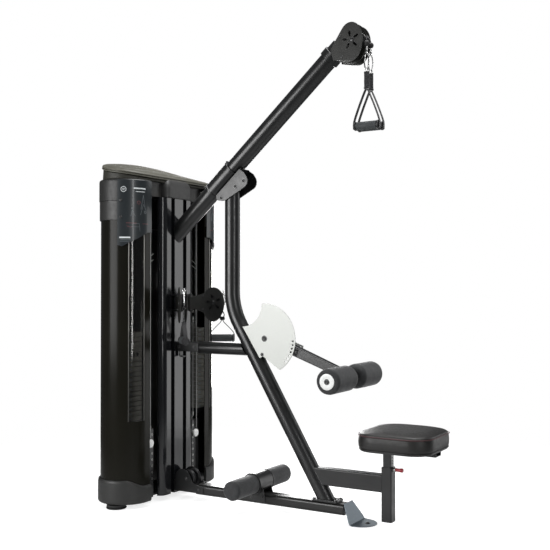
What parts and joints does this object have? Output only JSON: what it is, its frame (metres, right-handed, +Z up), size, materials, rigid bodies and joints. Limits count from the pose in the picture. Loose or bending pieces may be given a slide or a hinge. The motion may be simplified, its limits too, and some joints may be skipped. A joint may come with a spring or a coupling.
{
  "type": "lat pulldown machine",
  "caption": "Floor-standing cable pulldown machine: twin weight tower, sloping boom with pulley head and handles, thigh and foot rollers, height-adjusting seat.",
  "frame": {"origin": "on the floor under the middle of the footprint", "axes": "+Z up, +X from the weight tower towards the seat, +Y towards the user's right when seated facing the tower"},
  "size_m": [1.706, 0.816, 2.319],
  "materials": {
    "black_steel": "satin black powder coat",
    "gloss_fascia": "gloss dark grey-blue paint",
    "smoked_acrylic": "smoked black acrylic, glossy",
    "black_sheet": "satin black",
    "grey_plastic": "moulded dark warm grey, fine texture",
    "lid_plastic": "textured olive-grey moulding",
    "placard_plate": "slate grey printed plate",
    "silver_plate": "brushed, light silver",
    "chrome": "polished",
    "charcoal_foam": "closed-cell foam skin, charcoal",
    "black_vinyl": "grained upholstery vinyl with piping",
    "black_rubber": "matt",
    "black_nylon": "moulded nylon",
    "black_webbing": "woven nylon webbing",
    "red_plastic": "dark red moulding",
    "white_plastic": "off-white moulding",
    "cable_coat": "nylon-coated steel cable"
  },
  "bodies": {
    "root": {"tower_frame": "black_steel", "rear_panel": "black_sheet", "column": "gloss_fascia", "top_cover": "lid_plastic", "low_pulley_bracket": "black_steel", "base_rail": "black_steel", "front_foot_plate": "silver_plate", "upright": "black_steel", "mid_strut": "black_steel", "boom": "black_steel", "boom_sleeve": "black_steel", "pulley_head": "black_steel", "seat_beam": "black_steel", "quadrant_plates": "silver_plate", "foot_saddle": "black_steel", "foot_roller": "charcoal_foam", "foot_pad_left": "black_rubber", "base_cap_left": "grey_plastic", "top_cap_left": "grey_plastic", "placard_left": "placard_plate", "shroud_left": "smoked_acrylic", "rest_plates_left": "black_steel", "foot_pad_right": "black_rubber", "base_cap_right": "grey_plastic", "top_cap_right": "grey_plastic", "placard_right": "placard_plate", "shroud_right": "smoked_acrylic", "rest_plates_right": "black_steel"},
    "low_wheel": {"low_pulley": "black_nylon"},
    "stack_left": {"lifted_plates_left": "black_steel", "lift_cable_left": "cable_coat"},
    "pin_left": {"selector_pin_left": "chrome"},
    "knob_left": {"lock_knob_left": "white_plastic"},
    "top_wheel_left": {"top_pulley_left": "black_nylon"},
    "pull_left": {"pull_cable_left": "cable_coat", "snap_hook_left": "chrome"},
    "handle_left": {"handle_strap_left": "black_webbing"},
    "grip_left": {"handle_grip_left": "black_rubber"},
    "mid_block_left": {"mid_housing_left": "black_steel"},
    "mid_wheel_left": {"mid_pulley_left": "black_nylon"},
    "mid_stirrup_left": {"mid_handle_left": "black_webbing"},
    "thigh_roll_left": {"thigh_pad_left": "charcoal_foam"},
    "stack_right": {"lifted_plates_right": "black_steel", "lift_cable_right": "cable_coat"},
    "pin_right": {"selector_pin_right": "chrome"},
    "knob_right": {"lock_knob_right": "white_plastic"},
    "top_wheel_right": {"top_pulley_right": "black_nylon"},
    "pull_right": {"pull_cable_right": "cable_coat", "snap_hook_right": "chrome"},
    "handle_right": {"handle_strap_right": "black_webbing"},
    "grip_right": {"handle_grip_right": "black_rubber"},
    "mid_block_right": {"mid_housing_right": "black_steel"},
    "mid_wheel_right": {"mid_pulley_right": "black_nylon"},
    "mid_stirrup_right": {"mid_handle_right": "black_webbing"},
    "thigh_roll_right": {"thigh_pad_right": "charcoal_foam"},
    "thigh": {"thigh_arm": "black_steel"},
    "thigh_lock": {"thigh_pin": "chrome"},
    "seat": {"seat_post": "black_steel", "seat_pad": "black_vinyl"},
    "seat_lock": {"seat_pin": "red_plastic"}
  },
  "joints": [
    {"name": "low_wheel_spin", "type": "hinge", "parent": "root", "child": "low_wheel", "pos_m": [-0.507, 0, 0.108], "axis": [0, 1, 0], "continuous": true},
    {"name": "lift_left", "type": "slide", "parent": "root", "child": "stack_left", "axis": [0, 0, 1], "range_m": [0, 0.42], "deforming": ["lift_cable_left"]},
    {"name": "pull_left", "type": "slide", "parent": "root", "child": "pull_left", "axis": [0, 0, -1], "range_m": [0, 0.84], "deforming": ["pull_cable_left"]},
    {"name": "top_wheel_spin_left", "type": "hinge", "parent": "root", "child": "top_wheel_left", "pos_m": [0.437, -0.0225, 2.237], "axis": [0, 1, 0], "continuous": true},
    {"name": "handle_swing_left", "type": "hinge", "parent": "pull_left", "child": "handle_left", "pos_m": [0.501, -0.0225, 2.091], "axis": [0, 1, 0], "range_deg": [-30, 30]},
    {"name": "grip_spin_left", "type": "hinge", "parent": "handle_left", "child": "grip_left", "pos_m": [0.501, -0.0225, 1.836], "axis": [1, 0, 0], "continuous": true},
    {"name": "pin_pull_left", "type": "slide", "parent": "stack_left", "child": "pin_left", "axis": [1, 0, 0], "range_m": [0, 0.02]},
    {"name": "knob_pull_left", "type": "slide", "parent": "root", "child": "knob_left", "axis": [1, 0, 0], "range_m": [0, 0.012], "stiffness_N_per_m": 400},
    {"name": "mid_swivel_left", "type": "hinge", "parent": "root", "child": "mid_block_left", "pos_m": [-0.548, -0.051, 1.01], "axis": [0, 0, 1], "range_deg": [-28, 25]},
    {"name": "mid_wheel_spin_left", "type": "hinge", "parent": "mid_block_left", "child": "mid_wheel_left", "pos_m": [-0.46456, -0.13444, 1.01], "axis": [0.7071, 0.7071, 0], "continuous": true},
    {"name": "mid_stirrup_swing_left", "type": "hinge", "parent": "mid_block_left", "child": "mid_stirrup_left", "pos_m": [-0.43062, -0.16838, 0.99], "axis": [0.7071, 0.7071, 0], "range_deg": [-20, 20]},
    {"name": "thigh_roll_left", "type": "hinge", "parent": "thigh", "child": "thigh_roll_left", "pos_m": [0.408, -0.135, 0.671], "axis": [0, 1, 0], "continuous": true},
    {"name": "lift_right", "type": "slide", "parent": "root", "child": "stack_right", "axis": [0, 0, 1], "range_m": [0, 0.42], "deforming": ["lift_cable_right"]},
    {"name": "pull_right", "type": "slide", "parent": "root", "child": "pull_right", "axis": [0, 0, -1], "range_m": [0, 0.84], "deforming": ["pull_cable_right"]},
    {"name": "top_wheel_spin_right", "type": "hinge", "parent": "root", "child": "top_wheel_right", "pos_m": [0.437, 0.0225, 2.237], "axis": [0, 1, 0], "continuous": true},
    {"name": "handle_swing_right", "type": "hinge", "parent": "pull_right", "child": "handle_right", "pos_m": [0.501, 0.0225, 2.091], "axis": [0, 1, 0], "range_deg": [-30, 30]},
    {"name": "grip_spin_right", "type": "hinge", "parent": "handle_right", "child": "grip_right", "pos_m": [0.501, 0.0225, 1.836], "axis": [1, 0, 0], "continuous": true},
    {"name": "pin_pull_right", "type": "slide", "parent": "stack_right", "child": "pin_right", "axis": [1, 0, 0], "range_m": [0, 0.02]},
    {"name": "knob_pull_right", "type": "slide", "parent": "root", "child": "knob_right", "axis": [1, 0, 0], "range_m": [0, 0.012], "stiffness_N_per_m": 400},
    {"name": "mid_swivel_right", "type": "hinge", "parent": "root", "child": "mid_block_right", "pos_m": [-0.548, 0.051, 1.01], "axis": [0, 0, 1], "range_deg": [-12, 40]},
    {"name": "mid_wheel_spin_right", "type": "hinge", "parent": "mid_block_right", "child": "mid_wheel_right", "pos_m": [-0.44793, 0.11353, 1.01], "axis": [-0.5299, 0.848, 0], "continuous": true},
    {"name": "mid_stirrup_swing_right", "type": "hinge", "parent": "mid_block_right", "child": "mid_stirrup_right", "pos_m": [-0.40722, 0.13897, 0.99], "axis": [-0.5299, 0.848, 0], "range_deg": [-20, 20]},
    {"name": "thigh_roll_right", "type": "hinge", "parent": "thigh", "child": "thigh_roll_right", "pos_m": [0.408, 0.135, 0.671], "axis": [0, 1, 0], "continuous": true},
    {"name": "thigh_arm_tilt", "type": "hinge", "parent": "root", "child": "thigh", "pos_m": [-0.036, 0, 0.84], "axis": [0, 1, 0], "range_deg": [-18, 27]},
    {"name": "thigh_pin_pull", "type": "slide", "parent": "root", "child": "thigh_lock", "axis": [0, 1, 0], "range_m": [0, 0.03]},
    {"name": "seat_height", "type": "slide", "parent": "root", "child": "seat", "axis": [0, 0, 1], "range_m": [-0.04, 0.15]},
    {"name": "seat_pin_pull", "type": "slide", "parent": "root", "child": "seat_lock", "axis": [1, 0, 0], "range_m": [0, 0.012], "stiffness_N_per_m": 500}
  ],
  "couplings": [
    {"joint": "pull_left", "follows": "lift_left", "ratio": 2},
    {"joint": "top_wheel_spin_left", "follows": "lift_left", "rad_per_m": 42.553},
    {"joint": "pull_right", "follows": "lift_right", "ratio": 2},
    {"joint": "top_wheel_spin_right", "follows": "lift_right", "rad_per_m": 42.553}
  ]
}
